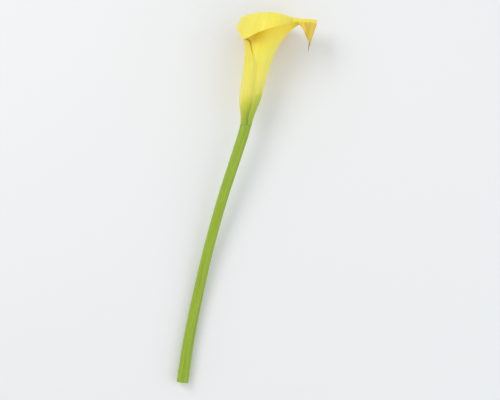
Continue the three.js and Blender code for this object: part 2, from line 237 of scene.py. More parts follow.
# %% [markdown]
# A curve through a few measured points describes every changing size of the flower.
# A cubic between each pair of points, with slopes that never overshoot, keeps bulges
# from appearing where none were measured. Two small curves help with gradual changes:
# a soft step from 0 to 1, and a bell that fades to both sides.

# %% Smooth curves
def smooth_curve(points):
    """A function that runs smoothly through points (x, y) without overshoot."""
    slopes = [0.0] * len(points)
    for i in range(1, len(points) - 1):
        before = (points[i][1] - points[i - 1][1]) / (points[i][0] - points[i - 1][0])
        after = (points[i + 1][1] - points[i][1]) / (points[i + 1][0] - points[i][0])
        if before * after > 0:
            slopes[i] = 2 * before * after / (before + after)

    def value_at(x):
        if x <= points[0][0]:
            return points[0][1]
        i = 1
        while i < len(points) - 1 and points[i][0] < x:
            i += 1
        if x >= points[i][0]:
            return points[i][1]
        (x0, y0), (x1, y1) = points[i - 1], points[i]
        width = x1 - x0
        t = (x - x0) / width
        s = 1 - t
        start = y0 * (1 + 2 * t) + slopes[i - 1] * width * t
        end = y1 * (3 - 2 * t) - slopes[i] * width * s
        return start * s * s + end * t * t

    return value_at


def smooth_step(x, low, high):
    """0 below low, 1 above high, and smooth in between."""
    t = min(max((x - low) / (high - low), 0), 1)
    return t * t * (3 - 2 * t)


def bell(x, middle, spread):
    """1 at the middle, fading to 0 on both sides of it."""
    return math.exp(-(((x - middle) / spread) ** 2))


print("halfway through a step:", smooth_step(0.5, 0, 1))

# %% [markdown]
# The spathe is one leaf-like sheet. It winds round the spadix once and its two side
# edges pass each other, the near flap inside and the far flap outside. Above the throat
# the sheet turns out to a collar and is drawn out to a hooked tip. Each line of the
# sheet, from foot to rim, needs a throat, a crest and an edge, and the table gives them
# for some forty directions. The wall curve gives the plain funnel between them.

# %% Measures of the spathe
WALL = [
    (-2.2, 3.46), (0, 3.55), (3, 3.92), (6, 4.5), (11, 5.8), (15, 6.45), (20, 6.8),
    (28, 7.3), (36, 8.0), (46, 9.0), (66, 11.0),
]
RIM = [
    # angle, throat height, pull, crest (flare, height, lean), edge (flare, height, lean)
    (-285, 11, 0.5, (0, 12, 6), (0, 13.5, 6)),
    (-277, 21, 0.5, (0, 22.5, 5), (0, 24, 5)),
    (-268, 29, 0.5, (0, 31, 5), (0, 32.5, 5)),
    (-256, 33, 0.5, (0, 35.3, 5), (0, 36.8, 5)),
    (-243, 36, 0.5, (0, 38.8, 5), (0, 40.5, 5)),
    (-228, 38, 0.5, (0.1, 43.6, 6), (0.2, 45.6, 7)),
    (-213, 38, 1, (0.1, 46.4, 6), (0.4, 48.8, 9)),
    (-197, 37, 1, (0.4, 47.2, 9), (1.0, 50.0, 15)),
    (-180, 37, 2, (0.9, 47.8, 14), (2.0, 51, 24)),
    (-165, 37, 3, (2.4, 48.8, 24), (4.6, 53.0, 32)),
    (-152, 37, 4, (4.4, 52.5, 30), (7.4, 57.6, 44)),
    (-142, 37, 5, (5.6, 57.5, 50), (9.6, 60.4, 100)),
    (-133, 37, 4, (5.0, 62.0, 78), (10.8, 59.4, 152)),
    (-122, 37, 3, (4.4, 62.8, 88), (11.75, 56.6, 164)),
    (-90, 37, 3, (4.0, 62.6, 90), (7.0, 58.6, 168)),
    (-58, 37, 3, (4.0, 62.6, 90), (12.0, 57.4, 164)),
    (-45, 37, 4, (3.8, 62.6, 90), (8.8, 59.6, 168)),
    (-30, 37, 5, (4.4, 62.6, 90), (6.8, 61.0, 160)),
    (-20, 37, 7, (6.9, 62.6, 90), (8.5, 61.2, 166)),
    (-12, 37, 10, (10.4, 62.4, 90), (13.1, 57.0, 178)),
    (-6, 37, 12, (13.8, 62.4, 90), (16.8, 51.8, 175)),
    (-2.5, 37, 12, (16.5, 62.4, 90), (18.6, 49.4, 173)),
    (-1.2, 37, 12, (17.0, 62.4, 90), (19.3, 47.4, 173)),
    (0, 37, 12, (17.3, 62.4, 90), (20.4, 42.8, 173)),
    (1.2, 37, 12, (17.0, 62.4, 90), (19.3, 47.4, 173)),
    (2.5, 37, 12, (16.5, 62.4, 90), (18.6, 49.4, 173)),
    (6, 37, 12, (13.8, 62.4, 90), (16.8, 51.6, 175)),
    (12, 37, 10, (10.4, 62.4, 90), (13.1, 55.5, 178)),
    (20, 37, 7, (6.9, 62.7, 90), (8.5, 60.0, 176)),
    (30, 37, 5, (4.3, 63.1, 90), (6.6, 59.4, 174)),
    (45, 38, 3, (3.3, 63.6, 90), (7.2, 58.4, 172)),
    (60, 39, 3, (3.0, 64.2, 90), (8.7, 57.2, 170)),
    (90, 40, 3, (3.1, 65.0, 90), (9.8, 53.8, 170)),
    (118, 40, 3, (2.9, 65.0, 90), (7.5, 50.9, 176)),
    (134, 40, 3, (3.0, 64.9, 90), (6.3, 49.6, 180)),
    (150, 39, 4, (4.2, 64.6, 88), (5.9, 50.2, 176)),
    (165, 38, 5, (5.4, 64.0, 82), (7.6, 54.4, 166)),
    (180, 37, 6, (6.2, 63.0, 72), (9.2, 58.6, 150)),
    (194, 37, 6, (5.8, 60.5, 50), (8.4, 61.0, 95)),
    (206, 37, 5, (4.0, 56, 28), (5.8, 59.5, 40)),
    (217, 36, 3, (0.7, 47, 10), (1.3, 51, 14)),
    (228, 34, 1, (0, 38.5, 6), (0, 40.5, 6)),
    (240, 26, 0.5, (0, 28.5, 5), (0, 30, 5)),
    (255, 12, 0.5, (0, 13.5, 6), (0, 15, 6)),
]
FAR_EDGE, NEAR_EDGE = RIM[0][0], RIM[-1][0]
wall_radius = smooth_curve(WALL)
throat_height = smooth_curve([(row[0], row[1]) for row in RIM])
crest_pull = smooth_curve([(row[0], row[2]) for row in RIM])
crest_parts = [smooth_curve([(row[0], row[3][k]) for row in RIM]) for k in range(3)]
edge_parts = [smooth_curve([(row[0], row[4][k]) for row in RIM]) for k in range(3)]
print("the sheet turns through", NEAR_EDGE - FAR_EDGE, "degrees")

# %% [markdown]
# Where the flaps overlap, the far flap lies just outside the near one. A small offset
# that shrinks from flap to flap winds the sheet inwards. At the foot both flaps grow
# together, so there the offset fades. Each line of the sheet is then three pieces of
# curve: up the wall, out to the crest, and over to the edge.

# %% One line of the sheet, from foot to rim
FLAP_STEP = 0.56
FLAP_SPREAD, SPREAD_FROM, SPREAD_TO = 0.45, 30, 44
FUSED_SHARE, FUSED_TO = 0.35, 16
SHEET_FOOT = WALL[0][0]
CURVE_STEPS = 48
RISE_SHARE, FALL_SHARE = 0.42, 0.4
CREST_REACH = 3.4


def spiral_offset(angle, height):
    """How far the sheet lies outside the plain wall, in mm."""
    start, end = NEAR_EDGE - 360, FAR_EDGE + 360
    turned = min(max((angle - start) / (end - start), 0), 1)
    free = FUSED_SHARE + (1 - FUSED_SHARE) * smooth_step(height, 0, FUSED_TO)
    step = FLAP_STEP + FLAP_SPREAD * smooth_step(height, SPREAD_FROM, SPREAD_TO)
    return (0.5 - turned) * step * free


def lean_vector(degrees):
    """Direction as (outwards, up) that leans outwards by an angle."""
    lean = math.radians(degrees)
    return Vector((math.sin(lean), math.cos(lean)))


def bezier(a, b, c, d):
    """Points of a cubic curve after its first one."""
    points = []
    for i in range(1, CURVE_STEPS + 1):
        t = i / CURVE_STEPS
        s = 1 - t
        points.append(a * s**3 + b * (3 * s * s * t) + c * (3 * s * t * t) + d * t**3)
    return points


def sheet_line(angle):
    """One line of the sheet as (radius, height) points in mm."""
    throat = throat_height(angle)

    def on_wall(height, flare=0.0):
        return Vector((wall_radius(height) + spiral_offset(angle, height) + flare, height))

    steps = range(CURVE_STEPS + 1)
    wall = [on_wall(SHEET_FOOT + (throat - SHEET_FOOT) * i / CURVE_STEPS) for i in steps]
    start = wall[-1]
    crest_flare, crest_height, crest_lean = [part(angle) for part in crest_parts]
    edge_flare, edge_height, edge_lean = [part(angle) for part in edge_parts]
    crest = on_wall(crest_height, crest_flare)
    edge = on_wall(edge_height, edge_flare)
    over, down = lean_vector(crest_lean), lean_vector(edge_lean)
    rise_handle = (start - wall[-2]).normalized() * RISE_SHARE * (crest - start).length
    fall_handle = FALL_SHARE * (edge - crest).length
    crest_handle = min(fall_handle, CREST_REACH)
    rise = bezier(start, start + rise_handle, crest - over * crest_pull(angle), crest)
    fall = bezier(crest, crest + over * crest_handle, edge - down * fall_handle, edge)
    return wall + rise + fall


print("points in one line:", len(sheet_line(0)))

# %% [markdown]
# A smooth sheet needs its points where it bends. Along a line, the steps shorten with
# the bend. Around the funnel, the lines crowd together at the tip, at the shoulder and
# where the flaps cross. Both times a running sum is cut into equal shares. Some extra
# lines and steps close to every free edge give room to round it off.

# %% Where the lines and the steps along them go
LINES = 300
ROWS = 120
BEND_WEIGHT = 5.0
EDGE_SHARES = [1 - share for share in (0.008, 0.0045, 0.002, 0.0007, 0)]
EDGE_LINES = [0.15, 0.4, 0.9]
ANGLE_STEP = 0.25
LINE_CROWDS = [
    # angle, spread, extra lines for each usual one
    (0, 9, 3.0), (0, 2, 7.0), (150, 14, 1.8), (213, 14, 1.0), (-147, 14, 0.6),
]


def find_shares(sums, shares):
    """For each share of the last sum, the step that reaches it and the part of that step."""
    found = []
    i = 1
    for share in shares:
        wanted = share * sums[-1]
        while i < len(sums) - 1 and sums[i] < wanted:
            i += 1
        found.append((i, (wanted - sums[i - 1]) / (sums[i] - sums[i - 1])))
    return found


def even_steps(path, shares):
    """Points of a path at shares of its length, where bends count as extra length."""
    lengths = [0.0]
    for i in range(1, len(path)):
        step = path[i] - path[i - 1]
        before = path[i - 1] - path[i - 2] if i > 1 else step
        bend = abs(math.atan2(before.x * step.y - before.y * step.x, before.dot(step)))
        lengths.append(lengths[-1] + step.length + BEND_WEIGHT * bend)
    return [path[i - 1].lerp(path[i], part) for i, part in find_shares(lengths, shares)]


def line_angles():
    """Angles of the lines in degrees, from the far flap's edge to the near flap's."""
    sums = [0.0]
    for i in range(int((NEAR_EDGE - FAR_EDGE) / ANGLE_STEP)):
        angle = FAR_EDGE + (i + 0.5) * ANGLE_STEP
        crowd = sum(extra * bell(angle, middle, spread) for middle, spread, extra in LINE_CROWDS)
        sums.append(sums[-1] + 1 + crowd)
    found = find_shares(sums, [k / LINES for k in range(LINES + 1)])
    lines = [FAR_EDGE + (i - 1 + part) * ANGLE_STEP for i, part in found]
    for distance in EDGE_LINES:
        lines += [FAR_EDGE + distance, NEAR_EDGE - distance]
    return sorted(lines)


row_shares = [i / ROWS for i in range(ROWS)] + EDGE_SHARES
angles = line_angles()
print(len(angles), "lines with", len(row_shares), "steps each")

# %% [markdown]
# The middle of the sheet becomes a grid of points. Living tissue is never quite even,
# so shallow pleats run up the funnel and the collar waves a little, except where the
# flaps overlap. The waves are real shape, not only shading, because a wavy edge shows
# against the floor. The far flap's edge is drawn back at the waist and clings there.

# %% The middle surface of the spathe
WAIST_HEIGHT, WAIST_SPREAD, WAIST_TURN = 47, 8, 7
WAIST_MARGIN = (FAR_EDGE + 30, FAR_EDGE + 110)
PLEAT_TURN, PLEAT_SLANT, PLEAT_DEPTH = 11.0, 0.03, 0.035
PLEAT_HEIGHTS, PLEAT_FADE = (6, 24), (0.93, 1)
RIM_WAVES = [(5.3, 0.7, 0.28), (11.1, 0.0, 0.168)]  # waves in a turn of 2 pi, start, size
COLLAR_SHARES = (0.6, 1)
FAR_MARGIN, NEAR_MARGIN = (-235, -195), (200, 222)
CLING_DEPTH, CLING_WIDTH, CLING_MARGIN = 0.19, 3.0, (-235, -205)


def waist_turn(angle, height):
    """Degrees by which the far flap's free edge is drawn back at the waist."""
    share = 1 - smooth_step(angle, *WAIST_MARGIN)
    return WAIST_TURN * share * bell(height, WAIST_HEIGHT, WAIST_SPREAD)


def ripple(angle, share, height):
    """Small outward or inward shift of the sheet, in mm."""
    turned = math.radians(angle)
    pleat = PLEAT_DEPTH * math.sin(2 * math.pi * angle / PLEAT_TURN + PLEAT_SLANT * height)
    pleat *= smooth_step(height, *PLEAT_HEIGHTS) * (1 - smooth_step(share, *PLEAT_FADE))
    wave = sum(size * math.sin(turned * rate + start) for rate, start, size in RIM_WAVES)
    free = smooth_step(angle, *FAR_MARGIN) * (1 - smooth_step(angle, *NEAR_MARGIN))
    return pleat + wave * free * smooth_step(share, *COLLAR_SHARES) ** 2


def cling(angle, point, rim_point):
    """Inward shift of the far flap's margin, which clings to the flap under it, in mm."""
    to_side = math.radians(angle - FAR_EDGE) * point.x
    nearest = min(to_side, (rim_point - point).length)
    overlap = 1 - smooth_step(angle, *CLING_MARGIN)
    return CLING_DEPTH * overlap * (1 - smooth_step(nearest, 0, CLING_WIDTH))


middle = []
upright = []
for angle in angles:
    steps = even_steps(sheet_line(angle), row_shares)
    line = []
    for share, point in zip(row_shares, steps):
        radius = point.x + ripple(angle, share, point.y) - cling(angle, point, steps[-1])
        line.append(funnel_point(angle + waist_turn(angle, point.y), radius, point.y))
    middle.append(line)
    upright.append(steps)
print("middle surface:", len(middle) * len(middle[0]), "points")

# %% [markdown]
# A petal is thick and juicy low down and thins out towards its margin, which is round,
# not cut. So the thickness follows the distance from the nearest free edge. Both sides
# of the sheet are shifted along the surface's own direction, and a narrow band joins
# them all round, so that the spathe is one closed skin.

# %% Thickness of the sheet
FULL_HALF, RIM_HALF, FOOT_HALF = 0.24, 0.11, 0.09
THINNING_WIDTH = 9
ROUNDING, ROUNDED_END = 0.3, 0.12
FOOT_TAPER_TOP = 5

line_count, row_count = len(middle), len(middle[0])


def grid_point(line, row):
    """Middle point, with the grid's border repeated beyond it."""
    line = min(max(line, 0), line_count - 1)
    row = min(max(row, 0), row_count - 1)
    return middle[line][row]


def outward(line, row):
    """Direction out of the sheet on its outer side."""
    along = grid_point(line, row + 1) - grid_point(line, row - 1)
    across = grid_point(line + 1, row) - grid_point(line - 1, row)
    return along.cross(across).normalized()


def edge_distance(line, row):
    """Rough distance from the nearest free edge, in mm."""
    to_rim = (middle[line][row] - middle[line][-1]).length / MM
    radius = upright[line][row].x
    to_side = math.radians(min(angles[line] - FAR_EDGE, NEAR_EDGE - angles[line])) * radius
    return min(to_rim, to_side)


def half_thickness(line, row):
    """Half of the sheet's thickness at a grid point, in mm."""
    distance = edge_distance(line, row)
    half = RIM_HALF + (FULL_HALF - RIM_HALF) * smooth_step(distance, 0, THINNING_WIDTH)
    inside = min(distance / ROUNDING, 1)
    half *= max(math.sqrt(1 - (1 - inside) ** 2), ROUNDED_END)
    foot = smooth_step(upright[line][row].y, SHEET_FOOT, FOOT_TAPER_TOP)
    return FOOT_HALF + (half - FOOT_HALF) * foot


middle_thickness = 2 * half_thickness(line_count // 2, row_count // 2)
print("thickness in the middle of the sheet:", round(middle_thickness, 2), "mm")

# %% [markdown]
# The mesh is built straight from lists of points and faces: both sides of the sheet as
# grids, and a band along their common border. Every point is known already, so that is
# surer than pushing a ready-made shape into place.

# %% Build the spathe
def grid_faces(offset, flip):
    """Faces of one side of the sheet."""
    faces = []
    for line in range(line_count - 1):
        for row in range(row_count - 1):
            a = offset + line * row_count + row
            face = (a, a + 1, a + row_count + 1, a + row_count)
            faces.append(face[::-1] if flip else face)
    return faces


def border_faces(offset):
    """The narrow band that joins both sides of the sheet."""
    last_line, last_row = line_count - 1, row_count - 1
    border = [line * row_count for line in range(last_line)]
    border += [last_line * row_count + row for row in range(last_row)]
    border += [line * row_count + last_row for line in range(last_line, 0, -1)]
    border += list(range(last_row, 0, -1))
    faces = []
    for i, start in enumerate(border):
        end = border[(i + 1) % len(border)]
        faces.append((start, end, end + offset, start + offset))
    return faces


spathe_points = []
for side in (1, -1):
    for line in range(line_count):
        for row in range(row_count):
            shift = outward(line, row) * side * half_thickness(line, row) * MM
            point = middle[line][row] + shift
            point.z = max(point.z, 0)
            spathe_points.append(point)

face_points = line_count * row_count
spathe_faces = grid_faces(0, False) + grid_faces(face_points, True) + border_faces(face_points)
spathe_mesh = bpy.data.meshes.new("spathe")
spathe_mesh.from_pydata(spathe_points, [], spathe_faces)
spathe_mesh.shade_smooth()
spathe = new_object("spathe_skin", spathe_mesh)
print("spathe:", len(spathe_mesh.polygons), "faces")

# %% [markdown]
# Four numbers are stored on the points for the material to read later: the height at
# which the tissue colours, how far a point hangs below the crest, its distance from the
# tip, and which of the two sides it is on. The UV map follows the sheet: across for the
# turn, up for the way from the foot, so veins can run along it.

# %% Numbers for the spathe's finish
GREEN_SIDE = 20
GREEN_CLIMB = 6.5


def store_numbers(mesh, name, values):
    """One number for each point of the mesh, kept for its material."""
    attribute = mesh.attributes.new(name, "FLOAT", "POINT")
    attribute.data.foreach_set("value", values)


def ripeness(line, row):
    """Height at which the tissue colours, lower on the side where green climbs up."""
    climb = math.cos(math.radians(angles[line] - GREEN_SIDE))
    return upright[line][row].y - GREEN_CLIMB * climb


def past_crest(line, row):
    """How far a point hangs below the crest that its line has passed, in mm."""
    steps = upright[line]
    crest_row = max(range(row_count), key=lambda k: steps[k].y)
    return steps[crest_row].y - steps[row].y if row > crest_row else 0.0


grid = [(line, row) for line in range(line_count) for row in range(row_count)]
ripe_numbers = [ripeness(line, row) for line, row in grid]
hang_numbers = [past_crest(line, row) for line, row in grid]
tip_place = middle[angles.index(min(angles, key=abs))][-1]
store_numbers(spathe_mesh, "ripe_mm", ripe_numbers + ripe_numbers)
store_numbers(spathe_mesh, "hang_mm", hang_numbers + hang_numbers)
store_numbers(spathe_mesh, "tip_mm", [(p - tip_place).length / MM for p in spathe_points])
store_numbers(spathe_mesh, "inner", [0.0] * face_points + [1.0] * face_points)
spathe_uv = spathe_mesh.uv_layers.new(name="sheet")
for loop in spathe_mesh.loops:
    line, row = divmod(loop.vertex_index % face_points, row_count)
    spathe_uv.data[loop.index].uv = (angles[line] / 360, row_shares[row])
print("the sheet hangs up to", round(max(hang_numbers), 1), "mm below its crest")

# %% [markdown]
# Three more helpers serve the finishes. One reads a stored number. One draws a noise out
# in one direction, which turns its blots into lines such as veins. The last moves a
# number from one range to another, so that it can steer a colour or the gloss.

# %% Helpers for patterns
def attribute_number(tree, name):
    """A number that is stored on the mesh."""
    return add_node(tree, "ShaderNodeAttribute", attribute_name=name).outputs["Fac"]


def stretched_noise(tree, vector, stretch, scale, detail):
    """Noise that is drawn out where the stretch is small."""
    mapped = add_node(tree, "ShaderNodeMapping", {"Vector": vector, "Scale": stretch})
    inputs = {"Vector": mapped.outputs["Vector"], "Scale": scale, "Detail": detail}
    return add_node(tree, "ShaderNodeTexNoise", inputs).outputs["Fac"]


def to_range(tree, value, low, high, new_low=0.0, new_high=1.0, kind="SMOOTHSTEP"):
    """A number moved from one range to another, and held inside it."""
    inputs = {
        "Value": value, "From Min": low, "From Max": high, "To Min": new_low, "To Max": new_high,
    }
    node = add_node(tree, "ShaderNodeMapRange", inputs, interpolation_type=kind)
    return node.outputs["Result"]


print("the stored numbers are", [a.name for a in spathe_mesh.attributes if a.name.endswith("_mm")])

# %% [markdown]
# The spathe's colour runs from stem green at its foot through greenish yellow to clear
# lemon. On the outer side, a deeper golden band just below the collar is painted shade
# and painted light shining through the sheet. The hooked tip is golden, partly its own
# deeper colour and partly painted shade; one half of its fold gets painted light and
# shade, a darker vein line on it carries painted shade too, and its very point is green.
# Each of these is one more layer of colour, laid over the last where a stored number
# says so. Fine veins run from foot to rim and give both colour and relief. A little light
# passes into the flesh, which subsurface scattering stands for.

# %% Spathe finish
RIB_TURN, RIB_DRIFT, RIB_WIDTH = 14 / 360, 0.75 / 360, 3 / 360


def spathe_material():
    """Flesh of the spathe: veins, green foot, golden hook, and painted shade on the hook and below
    the collar.
    """
    material, tree, shader = new_material("spathe_flesh")
    ripe = attribute_number(tree, "ripe_mm")
    hang = attribute_number(tree, "hang_mm")
    tip = attribute_number(tree, "tip_mm")
    sheet_uv = add_node(tree, "ShaderNodeUVMap", uv_map="sheet").outputs["UV"]
    place = add_node(tree, "ShaderNodeTexCoord").outputs["Object"]
    veins = stretched_noise(tree, sheet_uv, (95, 1.6, 1), 1.0, 3.0)
    fine_veins = stretched_noise(tree, sheet_uv, (260, 9, 1), 1.0, 2.0)
    patches = stretched_noise(tree, place, (1, 1, 1), 90.0, 3.0)
    rough_height = number(tree, "ADD", ripe, to_range(tree, patches, 0.3, 0.7, -2.5, 2.5))
    level = to_range(tree, rough_height, 0.0, FUNNEL_TOP, kind="LINEAR")
    outside = ramp(tree, level, [
        (0.00, colour(150, 180, 38)), (0.13, colour(190, 198, 52)), (0.22, colour(232, 219, 86)),
        (0.32, colour(251, 230, 100)), (0.55, colour(249, 231, 88)), (0.78, colour(255, 220, 62)),
        # The golden stop at 0.78, below the collar, is painted shade and painted light shining
        # through the sheet.
        (1.00, colour(250, 228, 88)),
    ])
    inside = ramp(tree, level, [
        (0.00, colour(176, 178, 60)), (0.35, colour(226, 204, 60)), (0.80, colour(243, 224, 82)),
        (1.00, colour(239, 225, 98)),
    ])
    skin = mix_colours(tree, attribute_number(tree, "inner"), outside, inside)

    near_tip, past_fold = to_range(tree, tip, 25.0, 17.0), to_range(tree, hang, 1.2, 3.0)
    hook = number(tree, "MULTIPLY", near_tip, past_fold)
    turn = add_node(tree, "ShaderNodeSeparateXYZ", {"Vector": sheet_uv}).outputs["X"]
    drifted = number(tree, "MULTIPLY_ADD", hang, RIB_DRIFT, turn)
    beside_rib = number(tree, "SUBTRACT", drifted, RIB_TURN)
    from_rib = number(tree, "ABSOLUTE", beside_rib)
    # Masks for painted light and shade on the hook: one half of its fold, and a vein line.
    hook_half_light_and_shade = to_range(tree, beside_rib, 0.0, -RIB_WIDTH, 0.0, 0.7)
    rib_vein_and_shade = to_range(tree, from_rib, RIB_WIDTH, 0.0, 0.0, 0.6)
    streaks = to_range(tree, veins, 0.45, 0.7, 0.0, 0.7)
    layers = [
        (to_range(tree, veins, 0.35, 0.75, 0.0, 0.35), (232, 205, 62)),
        # Golden hook: partly the tip's own deeper colour, partly painted shade.
        (number(tree, "MULTIPLY", hook, 0.9), (241, 201, 46)),
        # One half of the hook's fold in another tone: painted light and shade.
        (number(tree, "MULTIPLY", hook, hook_half_light_and_shade), (218, 190, 72)),
        # Darker vein line on the hook, with painted shade along it.
        (number(tree, "MULTIPLY", hook, rib_vein_and_shade), (186, 148, 34)),
        (number(tree, "MULTIPLY", hook, streaks), (206, 166, 44)),
        (to_range(tree, tip, 10.0, 5.0, 0.0, 0.6), (170, 160, 48)),
        (to_range(tree, tip, 6.5, 3.5, 0.0, 1.0), (84, 98, 58)),
    ]
    for amount, tint in layers:
        skin = mix_colours(tree, amount, skin, colour(*tint))
    vein_relief = relief(tree, veins, 0.35, 0.22 * MM)
    fill_inputs(tree, shader, {
        "Base Color": skin,
        "Roughness": to_range(tree, patches, 0.3, 0.7, 0.36, 0.48),
        "Normal": relief(tree, fine_veins, 0.25, 0.06 * MM, vein_relief),
        "Subsurface Weight": 0.45,
        "Subsurface Radius": (1.0, 0.72, 0.12),
        "Subsurface Scale": 2.2 * MM,
        "Specular IOR Level": 0.42,
        "Sheen Weight": 0.06,
    })
    return material


spathe.data.materials.append(spathe_material())
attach(spathe, "root")
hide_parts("spathe")
print("spathe finished with", len(spathe.data.materials[0].node_tree.nodes), "nodes")

# %% [markdown]
# The stem is a fleshy round stalk that leaves the funnel's foot, bends down and then
# lies along the floor. It follows a path, so a curve carries it: a Bezier spline through
# nine points, the first of them hidden in the funnel's foot. The handles come from the
# same rule as in the model, where each point's slope depends on the distances to its
# neighbours, so both stems run together.

# %% The stem's path
STEM_LENGTH = 160.0
STEM_TOP_RADIUS, STEM_END_RADIUS = 3.4, 3.6
STEM_CLEARANCE, STEM_SEAT = 0.06, 0.13
stem_points = [
    lay(0, 0, 0),
    lay(-1.5, -6, 0),
    lay(-6.6, -22, -0.3),
    Vector((-14.5, -46, 11.2)),
    Vector((-23, -76, 7.4)),
    Vector((-30.5, -108, 4.6)),
    Vector((-36, -136, STEM_END_RADIUS + STEM_CLEARANCE)),
    Vector((-39.5, -STEM_LENGTH, STEM_END_RADIUS - STEM_SEAT)),
]


def slope_at(before, here, after):
    """Slope of the path at a point, for one unit of the root of the distance."""
    first = math.sqrt((here - before).length)
    second = math.sqrt((after - here).length)
    chord = (after - before) / (first + second)
    return (here - before) / first - chord + (after - here) / second


def path_handles(points):
    """Both handles of each point: before it and after it."""
    ends = [points[0] * 2 - points[1], *points, points[-1] * 2 - points[-2]]
    handles = []
    for i in range(1, len(ends) - 1):
        slope = slope_at(ends[i - 1], ends[i], ends[i + 1])
        back = math.sqrt((ends[i] - ends[i - 1]).length) / 3
        ahead = math.sqrt((ends[i + 1] - ends[i]).length) / 3
        handles.append((ends[i] - slope * back, ends[i] + slope * ahead))
    return handles


TOP_OVERLAP = 1.4
stem_curve = bpy.data.curves.new("stem_path", "CURVE")
stem_curve.dimensions = "3D"
spline = stem_curve.splines.new("BEZIER")
spline.bezier_points.add(len(stem_points))
top_point = lay(0, TOP_OVERLAP, 0)
top_handle = (stem_points[0] - top_point) / 3
spots = [(top_point, (top_point - top_handle, top_point + top_handle))]
spots += list(zip(stem_points, path_handles(stem_points)))
for bezier_point, (place, (before, after)) in zip(spline.bezier_points, spots):
    bezier_point.co = to_frame(place)
    bezier_point.handle_left = to_frame(before)
    bezier_point.handle_right = to_frame(after)
print("stem path:", len(spline.bezier_points), "points")

# %% [markdown]
# Geometry Nodes sweep a round outline along the path. The tree resamples the curve,
# gives each place its radius, a little thinner at mid length, and skins it with Curve to
# Mesh. On the way it stores where each point lies along and around the stem. A low noise
# then pushes the skin in and out by less than a tenth of a millimetre, as on any grown
# stalk. The sizes are named inputs of the tree.

# %% Geometry Nodes tree for the stem
def new_tree(name, numbers):
    """An empty tree with geometry in and out, and one named input for each number."""
    tree = bpy.data.node_groups.new(name, "GeometryNodeTree")
    tree.interface.new_socket("Geometry", in_out="INPUT", socket_type="NodeSocketGeometry")
    for socket_name, kind, value in numbers:
        socket = tree.interface.new_socket(socket_name, in_out="INPUT", socket_type=kind)
        socket.default_value = value
    tree.interface.new_socket("Geometry", in_out="OUTPUT", socket_type="NodeSocketGeometry")
    return tree, add_node(tree, "NodeGroupInput"), add_node(tree, "NodeGroupOutput")


def end_tree(tree, result, geometry, material):
    """Make what the tree grew real geometry, paint it and hand it out."""
    real = add_node(tree, "GeometryNodeRealizeInstances", {"Geometry": geometry})
    painted = add_node(tree, "GeometryNodeSetMaterial", {
        "Geometry": real.outputs["Geometry"], "Material": material,
    })
    tree.links.new(painted.outputs["Geometry"], result.inputs["Geometry"])
    return tree


def stem_tree(material):
    """Tree that sweeps the stem's skin along its path."""
    tree, given, result = new_tree("stem_sweep", [
        ("Top Radius", "NodeSocketFloat", STEM_TOP_RADIUS * MM),
        ("End Radius", "NodeSocketFloat", STEM_END_RADIUS * MM),
        ("Waist", "NodeSocketFloat", 0.35 * MM),
        ("Rings", "NodeSocketInt", 150),
        ("Sides", "NodeSocketInt", 44),
        ("Unevenness", "NodeSocketFloat", 0.12 * MM),
    ])
    path = add_node(tree, "GeometryNodeResampleCurve", {
        "Curve": given.outputs["Geometry"], "Count": given.outputs["Rings"],
    })
    along = add_node(tree, "GeometryNodeSplineParameter").outputs["Factor"]
    growth = number(tree, "SUBTRACT", given.outputs["End Radius"], given.outputs["Top Radius"])
    radius = number(tree, "MULTIPLY_ADD", along, growth, given.outputs["Top Radius"])
    bow = number(tree, "SINE", number(tree, "MULTIPLY", along, math.pi))
    radius = number(tree, "SUBTRACT", radius, number(tree, "MULTIPLY", bow, given.outputs["Waist"]))
    measured = add_node(tree, "GeometryNodeStoreNamedAttribute", {
        "Geometry": path.outputs["Curve"], "Name": "along", "Value": along,
    }, data_type="FLOAT")
    outline = add_node(tree, "GeometryNodeCurvePrimitiveCircle", {
        "Resolution": given.outputs["Sides"], "Radius": 1.0,
    })
    on_outline = add_node(tree, "GeometryNodeInputPosition").outputs["Position"]
    marked = add_node(tree, "GeometryNodeStoreNamedAttribute", {
        "Geometry": outline.outputs["Curve"], "Name": "around", "Value": on_outline,
    }, data_type="FLOAT_VECTOR")
    swept = add_node(tree, "GeometryNodeCurveToMesh", {
        "Curve": measured.outputs["Geometry"], "Profile Curve": marked.outputs["Geometry"],
        "Scale": radius, "Fill Caps": True,
    })
    noise = add_node(tree, "ShaderNodeTexNoise", {"Scale": 160.0, "Detail": 2.0}).outputs["Fac"]
    swing = number(tree, "SUBTRACT", noise, 0.5)
    push = number(tree, "MULTIPLY", swing, given.outputs["Unevenness"])
    facing = add_node(tree, "GeometryNodeInputNormal").outputs["Normal"]
    shift = add_node(tree, "ShaderNodeVectorMath", {0: facing, "Scale": push}, operation="SCALE")
    uneven = add_node(tree, "GeometryNodeSetPosition", {
        "Geometry": swept.outputs["Mesh"], "Offset": shift.outputs["Vector"],
    })
    return end_tree(tree, result, uneven.outputs["Geometry"], material)


print("the stem is", STEM_TOP_RADIUS * 2, "to", STEM_END_RADIUS * 2, "mm thick")

# %% [markdown]
# The stem's skin is lime green and satin, with faint lengthwise lines and paler flecks.
# The lines come from a noise that is stretched along the stem. It reads the two values
# that the tree stored on the way, around and along, so the lines follow every bend.
# The knife's cut shows wet, pale flesh with the small dots of the vessels in it.

